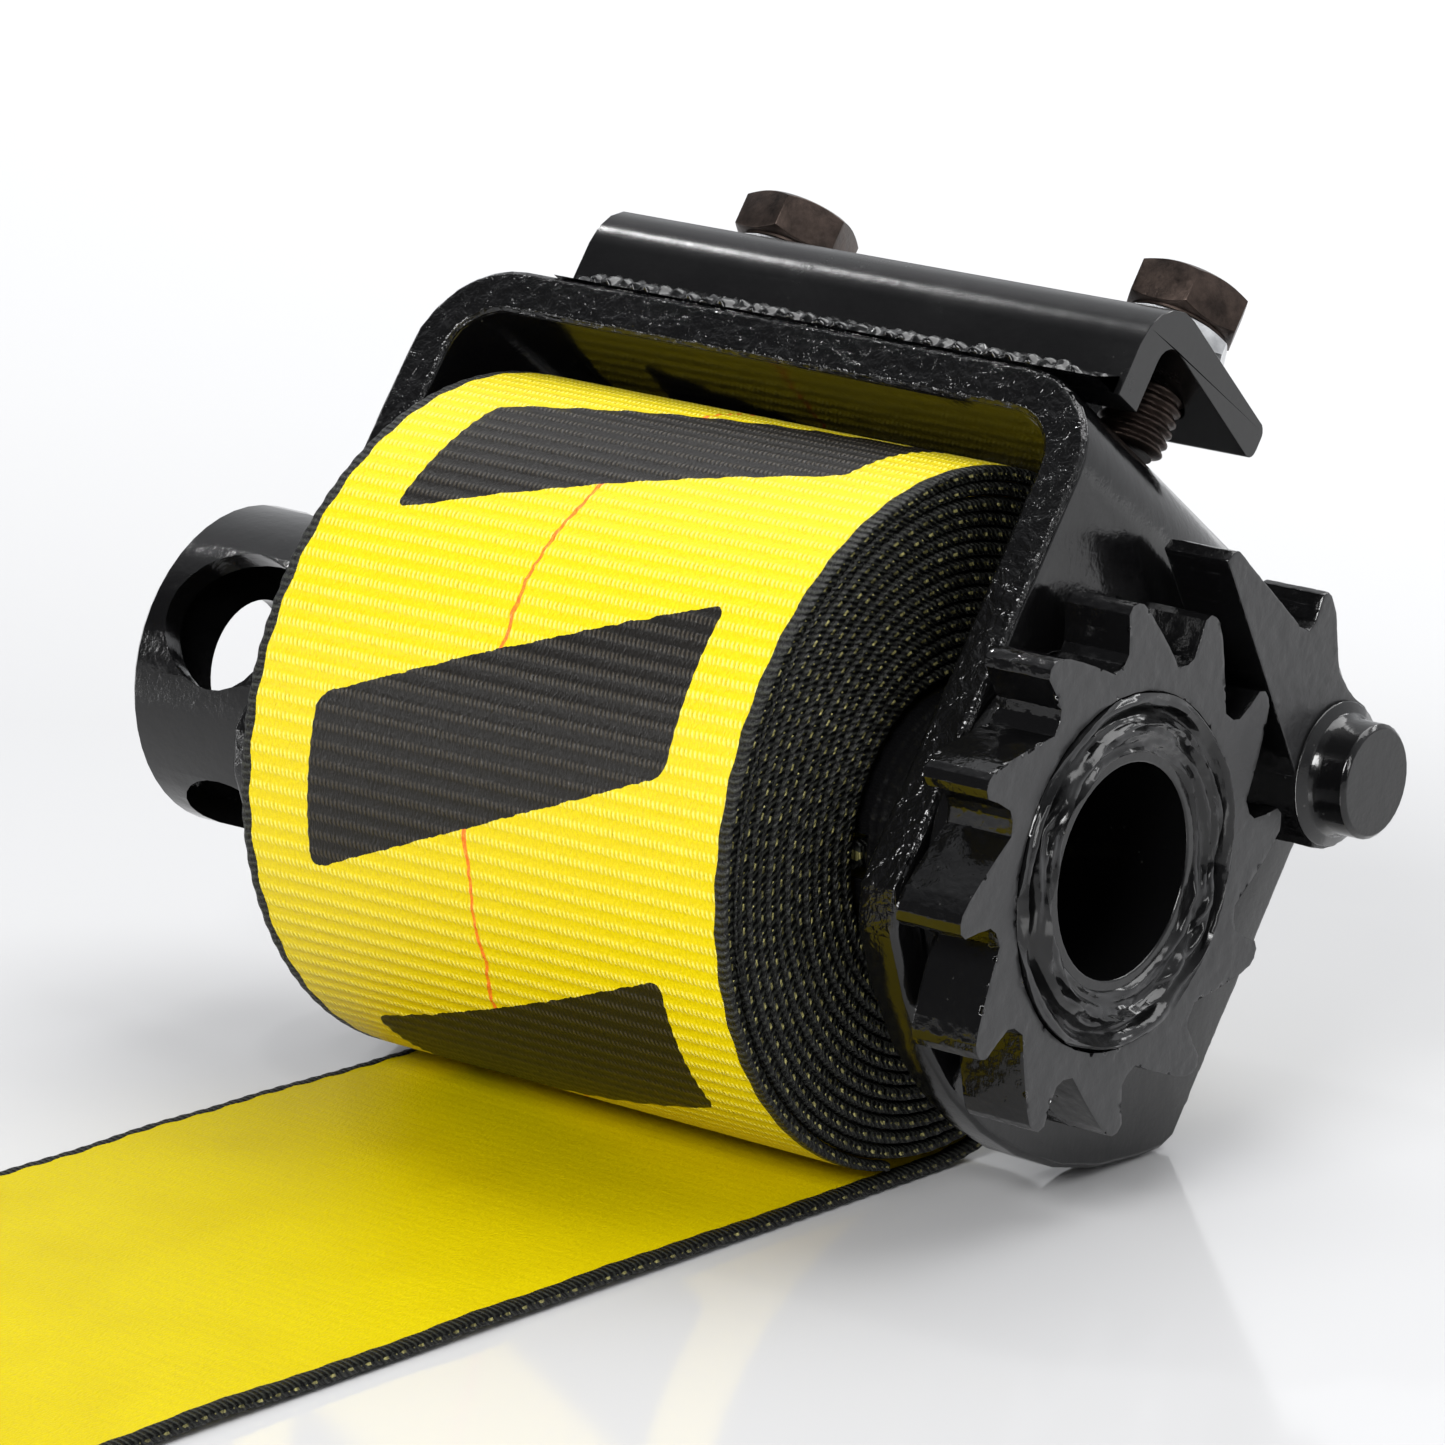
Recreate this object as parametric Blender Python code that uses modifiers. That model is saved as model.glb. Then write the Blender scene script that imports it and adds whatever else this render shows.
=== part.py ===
"""Clamp-on strap winch with a 4 inch webbing strap and flat hook.

A bent steel U carries a slotted drum tube. A twelve-tooth ratchet wheel is welded to one
end of the tube and a cap for a winch bar to the other. A short angle welded on the U's web
clamps the winch to a side rail with two set bolts. Units are metres, +Z is up. The winch
lies as it does on a floor: on the roll of webbing and the lower back corners of the frame.
The U is tilted back by FRAME_TILT, and its own directions are called X, V (back) and W (up).
"""
import math

import bmesh
import bpy
from mathutils import Matrix, Vector

# ---------------------------------------------------------------- driving dimensions
FRAME_TILT = math.radians(35.0)
AXLE_HEIGHT = 0.05807           # drum axle above the floor
FIT_GAP = 0.0003                # air left between touching pieces

WEB_WIDTH = 0.1016              # 4 inch webbing
WEB_THICK = 0.0024
CORE_RADIUS = 0.0544            # wound layers that turn with the drum
ROLL_BULGE = 0.0015             # the loose outer wrap stands out at the top and back
TAIL_END = -0.290               # hinge line of the flat hook, from the axle along Y
OVERLAP_END = -0.212            # end of the sewn overlap
OVERLAP_DROP = 0.034            # length over which the loop comes down onto the tail
WRAP_END = 255.0                # the last wrap ends here, in degrees round the axle
WRAP_DIVE = 0.0010              # how far its outside has moved in by then
INNER_END_HALF = 0.0238         # doubled end of the strap in the drum's slot

PLATE = 0.00794                 # 5/16 inch flat bar
FRAME_HALF = 0.06985            # outer face of each arm
FRAME_FRONT = -0.0325           # front edge, along V
FRAME_BACK = 0.0665             # back edge, along V
WEB_TOP = 0.069                 # top of the web, along W
BEND_RADIUS = 0.017             # outer radius of the two bends

TUBE_RADIUS = 0.02413
TUBE_BORE = 0.0176
TUBE_LEFT = -0.0703
TUBE_RIGHT = 0.0853
TUBE_CLEARANCE = 0.0005         # in the bores of the two arms
SLOT_HALF_HEIGHT = 0.0036       # slot for the strap, right through the tube
SLOT_HALF_REACH = 0.030
SLOT_SIDE_ROOM = 0.0012

WHEEL_BACK = 0.0731
WHEEL_FRONT = 0.08565
WHEEL_TEETH = 12
WHEEL_PHASE = math.radians(93.2)
WELD_RECESS_RADIUS = 0.0293
WELD_RECESS_DEPTH = 0.0032
WASHER_LOW = 0.0702             # washers between the right arm and what turns beside it
WASHER_HIGH = 0.0728
DRUM_WASHER_RADIUS = 0.0330
PAWL_WASHER_RADIUS = 0.0140
CUT_SIDE_LOW = 0.060            # reach of the cutters that go sideways through wheel and pawl
CUT_SIDE_HIGH = 0.100

CAP_OUTER = -0.1038
CAP_INNER = -0.0706
CAP_RADIUS = 0.0279
CAP_BORE = 0.0234
CAP_MOUTH = 0.0117
CAP_END_WALL = 0.0043
CAP_FLOOR = 0.0024
CAP_HOLE_RADIUS = 0.0127
CAP_HOLE_X = -0.0859
CAP_HOLE_ANGLE = math.radians(147.0)

PIVOT_Y = 0.0586                # pawl pivot, from the axle
PIVOT_Z = 0.0060
PAWL_HUB = 0.0128
PIN_RADIUS = 0.0079
PIN_HEAD_RADIUS = 0.0097
PIN_HEAD_END = 0.0940
PIN_BOSS_RADIUS = 0.0122        # flared foot of the pin's head
PIN_INNER_END = 0.0585

ANGLE_LEFT = -0.048
ANGLE_RIGHT = 0.0664
ANGLE_FRONT = -0.026
ANGLE_TIP = 0.0155
ANGLE_TOP = 0.0890
ANGLE_DROP = math.radians(8.3)  # the jaw flange leans down towards its tip
ANGLE_THICK = 0.00635
ANGLE_RADIUS = 0.010

BOLT_CENTRE_X = 0.0123
BOLT_SPACING = 0.0812
BOLT_RADIUS = 0.00635           # half-inch thread
BOLT_TIP = 0.0702
BOLT_HEAD_LOW = 0.0931
BOLT_HEAD_HIGH = 0.1011
HEX_FLATS = 0.01905
NUT_LOW = 0.0888
NUT_HIGH = 0.0928
BOLT_CLEARANCE = 0.0005
CUT_UP_LOW = 0.070              # reach of the cutters that go up through the jaw flange
CUT_UP_HIGH = 0.099

HOOK_HALF = 0.060
HOOK_PLATE = 0.00635
HOOK_BAR = 0.0048               # half width of the bar in the sewn loop
HOOK_SLOT = 0.0135
HOOK_HEEL = 0.050
HOOK_BEND = 0.0125
HOOK_NOSE = 0.013
LOOP_RADIUS = 0.0062            # inside of the sewn loop
HOOK_HALF_SLOT = 0.0525

# The part's origin is below the middle of its box: the ends of the box along X are the
# winch-bar cap and the pawl pin, along Y the hook's nose and the back edge of the U's web.
HOOK_FRONT_Y = -0.35663
FRAME_BACK_Y = 0.09353
SHIFT_X = -(CAP_OUTER + PIN_HEAD_END) / 2
SHIFT_Y = -(HOOK_FRONT_Y + FRAME_BACK_Y) / 2

ROLL_STEPS = 72
ROUND_STEPS = 40

# ---------------------------------------------------------------- scene and helpers
for old in list(bpy.data.objects):
    bpy.data.objects.remove(old, do_unlink=True)

part_collection = bpy.data.collections.new("strap_winch")
bpy.context.scene.collection.children.link(part_collection)
cutter_collection = bpy.data.collections.new("strap_winch_cutters")
bpy.context.scene.collection.children.link(cutter_collection)

ALONG_X = Matrix(((0, 0, 1, 0), (1, 0, 0, 0), (0, 1, 0, 0), (0, 0, 0, 1)))
ALONG_V = Matrix(((1, 0, 0, 0), (0, 0, -1, 0), (0, 1, 0, 0), (0, 0, 0, 1)))


def material(name, colour, roughness, metallic):
    """A plain Principled material."""
    mat = bpy.data.materials.new(name)
    mat.use_nodes = True
    shader = mat.node_tree.nodes["Principled BSDF"]
    shader.inputs["Base Color"].default_value = (*colour, 1.0)
    shader.inputs["Roughness"].default_value = roughness
    shader.inputs["Metallic"].default_value = metallic
    mat.diffuse_color = (*colour, 1.0)
    return mat


def empty(name, location, rotation=(0.0, 0.0, 0.0), parent=None):
    """An empty that carries the pieces of one body or one tilted group."""
    obj = bpy.data.objects.new(name, None)
    obj.location = location
    obj.rotation_euler = rotation
    obj.parent = parent
    obj.empty_display_size = 0.02
    part_collection.objects.link(obj)
    return obj


def add_mesh(name, mesh, parent, mat=None, matrix=None, cutter=False):
    """Put a mesh into the scene as a piece or as a cutter."""
    obj = bpy.data.objects.new(name, mesh)
    obj.parent = parent
    if matrix is not None:
        obj.matrix_local = matrix
    if cutter:
        cutter_collection.objects.link(obj)
        obj.hide_render = True
        obj.display_type = "WIRE"
    else:
        part_collection.objects.link(obj)
        mesh.materials.append(mat)
    return obj


def curve_mesh(curve):
    """Mesh of a filled curve, with its caps welded and its faces pointing out."""
    holder = bpy.data.objects.new("outline", curve)
    bpy.context.scene.collection.objects.link(holder)
    bpy.context.view_layer.update()
    depsgraph = bpy.context.evaluated_depsgraph_get()
    mesh = bpy.data.meshes.new_from_object(holder.evaluated_get(depsgraph))
    bpy.data.objects.remove(holder, do_unlink=True)
    bpy.data.curves.remove(curve)
    work = bmesh.new()
    work.from_mesh(mesh)
    bmesh.ops.remove_doubles(work, verts=work.verts, dist=0.000002)
    bmesh.ops.recalc_face_normals(work, faces=work.faces)
    work.to_mesh(mesh)
    work.free()
    return mesh


def prism(points, low, high):
    """A flat outline in its own XY plane, extruded along Z from low to high."""
    curve = bpy.data.curves.new("outline", "CURVE")
    curve.dimensions = "2D"
    curve.fill_mode = "BOTH"
    curve.extrude = (high - low) / 2
    spline = curve.splines.new("POLY")
    spline.points.add(len(points) - 1)
    for point, (x, y) in zip(spline.points, points):
        point.co = (x, y, 0.0, 1.0)
    spline.use_cyclic_u = True
    mesh = curve_mesh(curve)
    mesh.transform(Matrix.Translation((0.0, 0.0, (high + low) / 2)))
    return mesh


def cylinder_mesh(radius, low, high, steps=ROUND_STEPS):
    """A cylinder along its own Z."""
    work = bmesh.new()
    bmesh.ops.create_cone(work, cap_ends=True, segments=steps, radius1=radius, radius2=radius,
                          depth=high - low)
    bmesh.ops.translate(work, verts=work.verts, vec=(0.0, 0.0, (high + low) / 2))
    mesh = bpy.data.meshes.new("cylinder")
    work.to_mesh(mesh)
    work.free()
    return mesh


def turned(name, profile, parent, mat, matrix, steps=ROUND_STEPS, closed=True):
    """A profile of (radius, height) turned about its own Z with a Screw modifier."""
    work = bmesh.new()
    verts = [work.verts.new((radius, 0.0, height)) for radius, height in profile]
    for first, second in zip(verts, verts[1:]):
        work.edges.new((first, second))
    if closed:
        work.edges.new((verts[-1], verts[0]))
    mesh = bpy.data.meshes.new(name)
    work.to_mesh(mesh)
    work.free()
    obj = add_mesh(name, mesh, parent, mat, matrix, cutter=mat is None)
    screw = obj.modifiers.new("turn", "SCREW")
    screw.steps = steps
    screw.render_steps = steps
    screw.use_merge_vertices = True
    screw.merge_threshold = 0.00001
    return obj


def boolean(obj, cutter, operation="DIFFERENCE"):
    """Cut or trim a piece with a cutter object."""
    modifier = obj.modifiers.new(operation.lower(), "BOOLEAN")
    modifier.operation = operation
    modifier.object = cutter


def bevel(obj, width, segments=1, angle=40.0):
    """Break the sharp edges of a piece."""
    modifier = obj.modifiers.new("edges", "BEVEL")
    modifier.width = width
    modifier.segments = segments
    modifier.limit_method = "ANGLE"
    modifier.angle_limit = math.radians(angle)


def arc(centre, radius, start, end, steps):
    """Points along an arc, both ends included; angles in degrees."""
    points = []
    for index in range(steps + 1):
        angle = math.radians(start + (end - start) * index / steps)
        points.append((centre[0] + radius * math.cos(angle), centre[1] + radius * math.sin(angle)))
    return points


def rectangle(half_width, half_height):
    """Corners of a rectangle about its centre."""
    return [(-half_width, -half_height), (half_width, -half_height), (half_width, half_height),
            (-half_width, half_height)]


def rounded(points, radii, steps=3):
    """A polygon whose corners are replaced by arcs of the given radii (0 keeps a corner)."""
    result = []
    count = len(points)
    for index, radius in enumerate(radii):
        corner = Vector(points[index])
        if radius == 0:
            result.append(tuple(corner))
            continue
        before = (Vector(points[index - 1]) - corner).normalized()
        after = (Vector(points[(index + 1) % count]) - corner).normalized()
        half = before.angle(after) / 2
        centre = corner + (before + after).normalized() * (radius / math.sin(half))
        start = corner + before * (radius / math.tan(half)) - centre
        end = corner + after * (radius / math.tan(half)) - centre
        first = math.atan2(start.y, start.x)
        sweep = (math.atan2(end.y, end.x) - first + math.pi) % (2 * math.pi) - math.pi
        result += arc(centre, radius, math.degrees(first), math.degrees(first + sweep), steps)
    return result


# ---------------------------------------------------------------- materials
paint = material("black_paint", (0.012, 0.012, 0.013), 0.25, 0.0)
oxide = material("bolt_steel", (0.06, 0.045, 0.04), 0.38, 0.85)
zinc = material("zinc_plate", (0.72, 0.73, 0.74), 0.3, 0.9)
webbing = material("yellow_webbing", (0.90, 0.80, 0.03), 0.75, 0.0)

# ---------------------------------------------------------------- bodies
origin = empty("winch_origin", (SHIFT_X, SHIFT_Y, 0.0))
axle = empty("axle", (0.0, 0.0, AXLE_HEIGHT), parent=origin)
tilted = empty("frame_directions", (0.0, 0.0, 0.0), (-FRAME_TILT, 0.0, 0.0), parent=axle)
pivot = empty("pawl_pivot", (0.0, PIVOT_Y, PIVOT_Z), parent=axle)


# ---------------------------------------------------------------- frame
def make_frame():
    """U bent from flat bar, trimmed to the outline of its arms and drilled."""
    inner = FRAME_HALF - PLATE
    low = -0.050
    bend_inner = BEND_RADIUS - PLATE
    corner_w = WEB_TOP - BEND_RADIUS
    corner_x = FRAME_HALF - BEND_RADIUS
    outline = [(FRAME_HALF, low)]
    outline += arc((corner_x, corner_w), BEND_RADIUS, 0, 90, 8)
    outline += arc((-corner_x, corner_w), BEND_RADIUS, 90, 180, 8)
    outline += [(-FRAME_HALF, low), (-inner, low)]
    outline += arc((-corner_x, corner_w), bend_inner, 180, 90, 6)
    outline += arc((corner_x, corner_w), bend_inner, 90, 0, 6)
    outline += [(inner, low)]
    frame = add_mesh("frame", prism(outline, -FRAME_BACK - 0.01, -FRAME_FRONT + 0.01), tilted,
                     paint, ALONG_V)
    side = [(FRAME_FRONT, 0.080), (FRAME_FRONT, -0.0215), (-0.0290, -0.0270)]
    side += arc((0.0165, 0.029), 0.0723, 232, 306, 8)
    side += [(0.0645, -0.0255), (FRAME_BACK, -0.0225), (FRAME_BACK, 0.080)]
    trim = add_mesh("frame_trim", prism(side, -0.09, 0.09), tilted, matrix=ALONG_X, cutter=True)
    boolean(frame, trim, "INTERSECT")
    bore = add_mesh("frame_bore", cylinder_mesh(TUBE_RADIUS + TUBE_CLEARANCE, -0.09, 0.09, 48),
                    tilted, matrix=ALONG_X, cutter=True)
    boolean(frame, bore)
    pin_hole = add_mesh("frame_pin_hole", cylinder_mesh(PIN_RADIUS + FIT_GAP, 0.05, 0.08, 24),
                        pivot, matrix=ALONG_X, cutter=True)
    boolean(frame, pin_hole)
    bevel(frame, 0.0009, angle=50.0)


# ---------------------------------------------------------------- clamp
def bolt_positions():
    """X of the two set bolts, with their side names."""
    return (("left", BOLT_CENTRE_X - BOLT_SPACING / 2), ("right", BOLT_CENTRE_X + BOLT_SPACING / 2))


def make_clamp():
    """Angle whose leaning flange hooks over a rail, and the weld along its foot."""
    base = WEB_TOP + FIT_GAP
    tip_top = ANGLE_TOP - (ANGLE_TIP - ANGLE_FRONT - ANGLE_RADIUS) * math.tan(ANGLE_DROP)
    under_tip = tip_top - ANGLE_THICK / math.cos(ANGLE_DROP)
    inner_front = ANGLE_FRONT + ANGLE_THICK
    inner_top = under_tip + (ANGLE_TIP - inner_front) * math.tan(ANGLE_DROP)
    corners = [(ANGLE_FRONT, base), (ANGLE_FRONT, ANGLE_TOP + 0.0012), (ANGLE_TIP, tip_top),
               (ANGLE_TIP, under_tip), (inner_front, inner_top), (inner_front, base)]
    outline = rounded(corners, (0, ANGLE_RADIUS, 0.002, 0.002, 0.004, 0), steps=5)
    clamp = add_mesh("clamp_angle", prism(outline, ANGLE_LEFT, ANGLE_RIGHT), tilted, paint,
                     ALONG_X)
    bevel(clamp, 0.0006, angle=50.0)
    for side, x in bolt_positions():
        hole = add_mesh("clamp_hole_" + side,
                        cylinder_mesh(BOLT_RADIUS + BOLT_CLEARANCE, CUT_UP_LOW, CUT_UP_HIGH, 24),
                        tilted, matrix=Matrix.Translation((x, 0.0, 0.0)), cutter=True)
        boolean(clamp, hole)

    foot = ANGLE_FRONT - FIT_GAP
    bead = [(foot, base), (foot, base + 0.0030), (foot - 0.0022, base + 0.0027),
            (foot - 0.0045, base + 0.0016), (foot - 0.0057, base)]
    add_mesh("clamp_weld", prism(bead, ANGLE_LEFT + 0.001, ANGLE_RIGHT - 0.001), tilted, paint,
             ALONG_X)


def hexagon(flats):
    """Corners of a hexagon with two flats across Y."""
    radius = flats / math.sqrt(3.0)
    return [(radius * math.cos(math.radians(60 * k)), radius * math.sin(math.radians(60 * k)))
            for k in range(6)]


def make_bolts():
    """Two hex set bolts and the nuts that carry their threads."""
    for side, x in bolt_positions():
        place = Matrix.Translation((x, 0.0, 0.0))
        bolt = add_mesh("set_bolt_" + side,
                        prism(hexagon(HEX_FLATS), BOLT_HEAD_LOW, BOLT_HEAD_HIGH), tilted, oxide,
                        place)
        bevel(bolt, 0.0007, angle=50.0)
        chamfer = 0.0010
        shank = turned("shank_" + side, [(0.0, BOLT_HEAD_LOW + 0.003),
                                         (BOLT_RADIUS, BOLT_HEAD_LOW + 0.003),
                                         (BOLT_RADIUS, BOLT_TIP + chamfer),
                                         (BOLT_RADIUS - chamfer, BOLT_TIP), (0.0, BOLT_TIP)],
                       tilted, None, place, 24, closed=False)
        boolean(bolt, shank, "UNION")
        nut = add_mesh("set_bolt_nut_" + side, prism(hexagon(HEX_FLATS), NUT_LOW, NUT_HIGH),
                       tilted, zinc, place)
        thread = add_mesh("nut_bore_" + side,
                          cylinder_mesh(BOLT_RADIUS + FIT_GAP, NUT_LOW - 0.005, NUT_HIGH + 0.005, 24),
                          tilted, matrix=place, cutter=True)
        boolean(nut, thread)


# ---------------------------------------------------------------- drum
def wheel_outline():
    """Saw-shaped teeth: a radial working flank, a rounded tip and a long sloping back."""
    tooth = ((6.7, 0.0336), (2.5, 0.0345), (0.6, 0.0359), (0.4, 0.0392), (0.7, 0.0424),
             (-0.7, 0.0436), (-2.8, 0.0438), (-4.6, 0.0434), (-7.4, 0.0418), (-11.5, 0.0392),
             (-16.0, 0.0368), (-20.0, 0.0349))
    points = []
    for index in range(WHEEL_TEETH):
        start = WHEEL_PHASE - 2 * math.pi * index / WHEEL_TEETH
        for offset, radius in tooth:
            angle = start + math.radians(offset)
            points.append((radius * math.cos(angle), radius * math.sin(angle)))
    return points


def make_drum():
    """Slotted tube with the ratchet wheel, its weld and the cap for the winch bar."""
    tube = turned("drum_tube", [(TUBE_RADIUS, TUBE_RIGHT), (TUBE_RADIUS, TUBE_LEFT),
                                (TUBE_BORE, TUBE_LEFT), (TUBE_BORE, TUBE_RIGHT)],
                  axle, paint, ALONG_X, 48)
    slot_half = WEB_WIDTH / 2 + SLOT_SIDE_ROOM
    slot = add_mesh("drum_slot", prism(rectangle(SLOT_HALF_REACH, SLOT_HALF_HEIGHT),
                                       -slot_half, slot_half), axle, matrix=ALONG_X, cutter=True)
    boolean(tube, slot)

    wheel = add_mesh("ratchet_wheel", prism(wheel_outline(), WHEEL_BACK, WHEEL_FRONT), axle,
                     paint, ALONG_X)
    bore = add_mesh("wheel_bore", cylinder_mesh(TUBE_RADIUS + FIT_GAP, CUT_SIDE_LOW,
                                                CUT_SIDE_HIGH, 48), axle,
                    matrix=ALONG_X, cutter=True)
    boolean(wheel, bore)
    floor_x = WHEEL_FRONT - WELD_RECESS_DEPTH
    recess = add_mesh("wheel_recess", cylinder_mesh(WELD_RECESS_RADIUS, floor_x, CUT_SIDE_HIGH,
                                                    48), axle, matrix=ALONG_X, cutter=True)
    boolean(wheel, recess)

    inner = TUBE_RADIUS + FIT_GAP
    outer = WELD_RECESS_RADIUS - FIT_GAP
    turned("ratchet_weld", [(outer, 0.0853), (outer, floor_x + FIT_GAP),
                            (inner, floor_x + FIT_GAP), (inner, 0.0849), (0.0257, 0.0840),
                            (0.0270, 0.0837), (0.0282, 0.0843)], axle, paint, ALONG_X, 48)
    turned("drum_washer", [(DRUM_WASHER_RADIUS, WASHER_HIGH), (DRUM_WASHER_RADIUS, WASHER_LOW),
                           (inner, WASHER_LOW), (inner, WASHER_HIGH)], axle, oxide, ALONG_X, 36)

    edge = 0.0015
    cap = turned("bar_cap", [(CAP_RADIUS, CAP_INNER), (CAP_RADIUS, CAP_OUTER + edge),
                             (CAP_RADIUS - edge, CAP_OUTER), (CAP_MOUTH, CAP_OUTER),
                             (CAP_MOUTH, CAP_OUTER + CAP_END_WALL),
                             (CAP_BORE, CAP_OUTER + CAP_END_WALL),
                             (CAP_BORE, CAP_INNER - CAP_FLOOR), (TUBE_BORE, CAP_INNER - CAP_FLOOR),
                             (TUBE_BORE, CAP_INNER)], axle, paint, ALONG_X, 48)
    for index in range(2):
        turn = Matrix.Rotation(CAP_HOLE_ANGLE + index * math.pi / 2, 4, "X")
        across = (Matrix.Translation((CAP_HOLE_X, 0.0, 0.0)) @ turn
                  @ Matrix.Rotation(-math.pi / 2, 4, "X"))
        hole = add_mesh("cap_hole_%d" % index, cylinder_mesh(CAP_HOLE_RADIUS, -0.04, 0.04, 28),
                        axle, matrix=across, cutter=True)
        boolean(cap, hole)


# ---------------------------------------------------------------- pawl
def make_pawl():
    """Pawl with its nose and finger tab, turned back clear of the teeth, and its pin."""
    outline = [(-0.0348, 0.0409), (-0.0330, 0.0422), (-0.0315, 0.0420), (-0.0245, 0.0364),
               (-0.0126, 0.0268), (-0.0100, 0.0256), (-0.0083, 0.0268), (-0.0062, 0.0310),
               (-0.0048, 0.0313), (-0.0039, 0.0305), (-0.0021, 0.0274), (-0.0013, 0.0219),
               (-0.0001, 0.0172), (0.0026, 0.0140)]
    outline += arc((0.0, 0.0), PAWL_HUB, 66, -112, 12)
    outline += [(-0.0071, -0.0053)]
    pawl = add_mesh("pawl", prism(outline, WHEEL_BACK, WHEEL_FRONT), pivot, paint, ALONG_X)
    inner = PIN_RADIUS + FIT_GAP
    hole = add_mesh("pawl_hole", cylinder_mesh(inner, CUT_SIDE_LOW, CUT_SIDE_HIGH, 28), pivot,
                    matrix=ALONG_X, cutter=True)
    boolean(pawl, hole)

    head = WHEEL_FRONT + FIT_GAP
    turned("pawl_pin", [(0.0, PIN_HEAD_END), (PIN_HEAD_RADIUS - 0.0007, PIN_HEAD_END),
                        (PIN_HEAD_RADIUS, PIN_HEAD_END - 0.0007), (PIN_HEAD_RADIUS, head + 0.0032),
                        (0.0104, head + 0.0014), (PIN_BOSS_RADIUS, head + 0.0004),
                        (PIN_BOSS_RADIUS, head), (PIN_RADIUS, head),
                        (PIN_RADIUS, PIN_INNER_END + 0.0007), (PIN_RADIUS - 0.0007, PIN_INNER_END),
                        (0.0, PIN_INNER_END)], pivot, paint, ALONG_X, 32, closed=False)
    turned("pawl_washer", [(PAWL_WASHER_RADIUS, WASHER_HIGH), (PAWL_WASHER_RADIUS, WASHER_LOW),
                           (inner, WASHER_LOW), (inner, WASHER_HIGH)], pivot, oxide, ALONG_X, 32)
    inside = FRAME_HALF - PLATE - FIT_GAP
    turned("pawl_pin_weld", [(0.0120, inside), (0.0104, inside - 0.0018),
                             (inner, inside - 0.0026), (inner, inside)],
           pivot, paint, ALONG_X, 32)


# ---------------------------------------------------------------- strap and hook
def outer_wrap_radius(angle):
    """Outside of the last wrap at an angle in degrees; it bulges at the top and back."""
    lift = max(0.0, math.sin(math.radians((angle + 90.0) * 180.0 / 270.0))) if angle < 180 else 0.0
    ease = max(0.0, (angle - 180.0) / (WRAP_END - 180.0))
    return AXLE_HEIGHT + ROLL_BULGE * lift - WRAP_DIVE * ease


def make_strap():
    """Wound core, its end in the slot, and the last wrap with the tail and the sewn loop."""
    turned("strap_roll", [(CORE_RADIUS, WEB_WIDTH / 2), (CORE_RADIUS, -WEB_WIDTH / 2),
                          (TUBE_RADIUS + FIT_GAP, -WEB_WIDTH / 2),
                          (TUBE_RADIUS + FIT_GAP, WEB_WIDTH / 2)], axle, webbing, ALONG_X,
           ROLL_STEPS)
    add_mesh("strap_inner_end", prism(rectangle(INNER_END_HALF, WEB_THICK), -WEB_WIDTH / 2,
                                      WEB_WIDTH / 2), axle, webbing, ALONG_X)

    steps = 68
    floor = -AXLE_HEIGHT
    top = floor + WEB_THICK
    outer = []
    for index in range(steps + 1):
        angle = WRAP_END - (WRAP_END + 90.0) * index / steps
        radius = outer_wrap_radius(angle)
        outer.append((radius * math.cos(math.radians(angle)),
                      radius * math.sin(math.radians(angle))))
    inner = arc((0.0, 0.0), CORE_RADIUS + FIT_GAP, -90.0, WRAP_END, steps)

    loop_z = floor + WEB_THICK + LOOP_RADIUS
    loop_outside = LOOP_RADIUS + WEB_THICK
    overlap_low = top + FIT_GAP
    overlap_high = overlap_low + WEB_THICK
    down = TAIL_END + OVERLAP_DROP
    outside = arc((TAIL_END, loop_z), loop_outside, -90, -270, 12)
    outside += [(TAIL_END + 0.010, loop_z + loop_outside - 0.0022), (down, overlap_high),
                (OVERLAP_END, overlap_high), (OVERLAP_END, overlap_low), (down, overlap_low)]
    inside = [(TAIL_END + 0.010, loop_z + LOOP_RADIUS - 0.0022)]
    inside += arc((TAIL_END, loop_z), LOOP_RADIUS, 90, 270, 12)
    outline = outer + outside + inside + [(-0.020, top)] + inner
    add_mesh("strap_tail", prism(outline, -WEB_WIDTH / 2, WEB_WIDTH / 2), axle, webbing, ALONG_X)
    return loop_z


def make_hook(loop_z):
    """Flat hook: slotted plate bent up into a J, resting on its heel."""
    tilt = math.asin((loop_z + AXLE_HEIGHT - HOOK_PLATE / 2 - 0.0002) / HOOK_HEEL)
    hinge = empty("hook_hinge", (0.0, TAIL_END, loop_z), (tilt, 0.0, 0.0), parent=axle)
    half = HOOK_PLATE / 2
    bend = HOOK_BEND
    path_out = [(HOOK_BAR, -half), (-HOOK_HEEL, -half)]
    path_out += arc((-HOOK_HEEL, bend), bend + half, -90, -245, 12)
    nose = math.radians(-245 - 90)
    step = Vector((math.cos(nose), math.sin(nose))) * HOOK_NOSE
    end_out = (path_out[-1][0] + step.x, path_out[-1][1] + step.y)
    path_in = arc((-HOOK_HEEL, bend), bend - half, -245, -90, 10)
    end_in = (path_in[0][0] + step.x, path_in[0][1] + step.y)
    outline = path_out + [end_out, end_in] + path_in + [(HOOK_BAR, half)]
    hook = add_mesh("flat_hook", prism(outline, -HOOK_HALF, HOOK_HALF), hinge, zinc, ALONG_X)
    slot = [(-HOOK_BAR, -0.01), (-HOOK_BAR - HOOK_SLOT, -0.01), (-HOOK_BAR - HOOK_SLOT, 0.01),
            (-HOOK_BAR, 0.01)]
    cutter = add_mesh("hook_slot", prism(slot, -HOOK_HALF_SLOT, HOOK_HALF_SLOT), hinge,
                      matrix=ALONG_X, cutter=True)
    boolean(hook, cutter)
    bevel(hook, 0.0007, angle=50.0)


make_frame()
make_clamp()
make_bolts()
make_drum()
make_pawl()
make_hook(make_strap())
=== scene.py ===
"""Finished look of a clamp-on strap winch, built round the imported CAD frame.

Row frame: +X runs along the drum axle towards the ratchet wheel, the strap runs out along the
floor towards -Y, +Z is up, and everything is in metres.
"""
import math

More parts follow.
